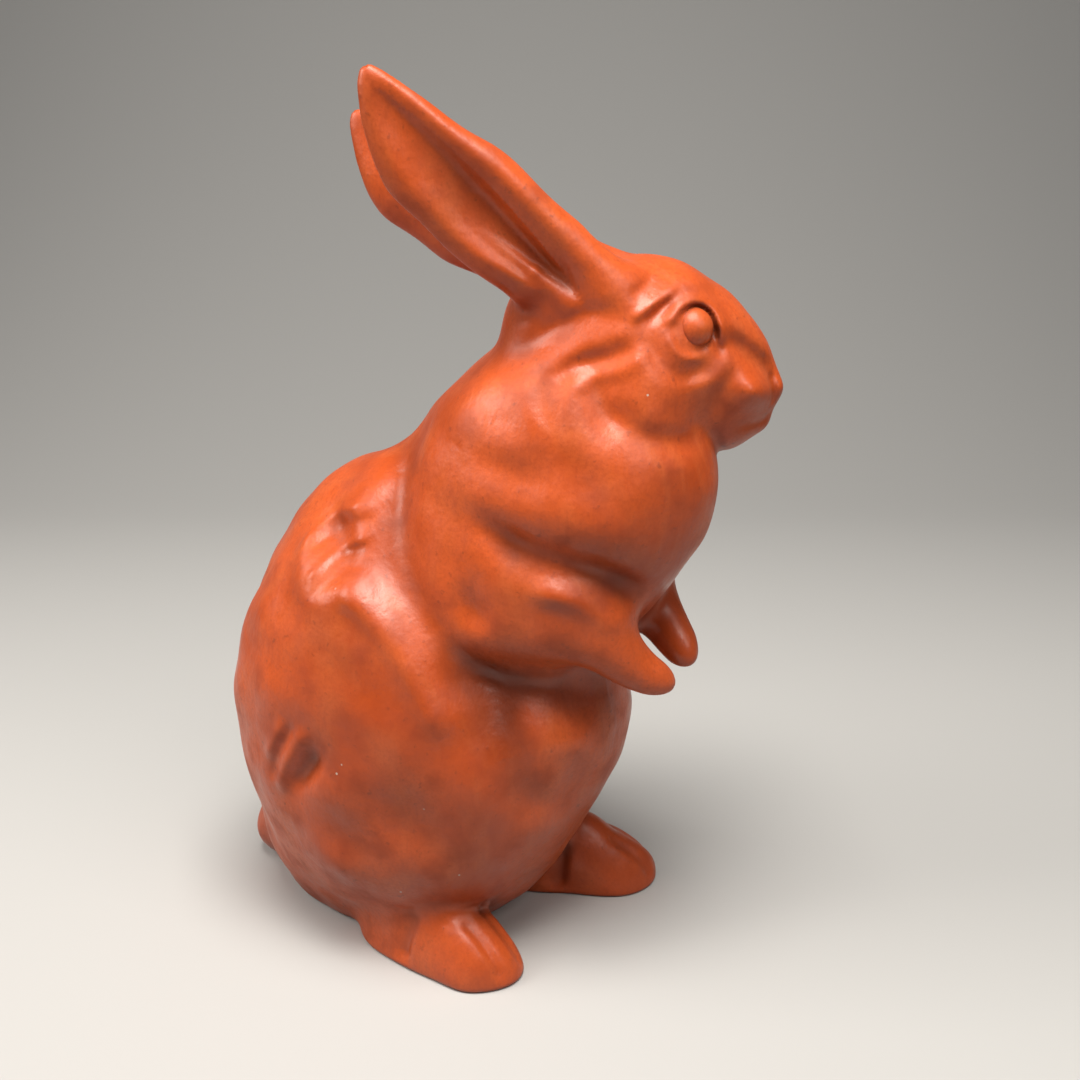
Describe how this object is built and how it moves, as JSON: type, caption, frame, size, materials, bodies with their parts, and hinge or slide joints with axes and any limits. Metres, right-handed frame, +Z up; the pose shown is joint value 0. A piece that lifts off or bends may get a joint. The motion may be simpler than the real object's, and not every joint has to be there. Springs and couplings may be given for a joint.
{
  "type": "rabbit figurine",
  "caption": "Ceramic rabbit figurine that sits upright on its hind feet, ears laid back and forepaws hanging; a free-standing ornament with a flat foot.",
  "frame": {"origin": "middle of the foot slab's underside, on the surface that the figurine stands on", "axes": "+Z up; the rabbit's body looks towards -Y and its right side is -X; its head is turned to its left"},
  "size_m": [0.1258, 0.2032, 0.3001],
  "materials": {
    "terracotta": "burnished satin, unglazed"
  },
  "bodies": {
    "root": {"torso": "terracotta", "foot_slab": "terracotta", "head": "terracotta", "right_eye": "terracotta", "left_eye": "terracotta", "right_ear": "terracotta", "left_ear": "terracotta", "right_foreleg": "terracotta", "left_foreleg": "terracotta", "right_hind_foot": "terracotta", "left_hind_foot": "terracotta", "tail": "terracotta"}
  },
  "joints": []
}
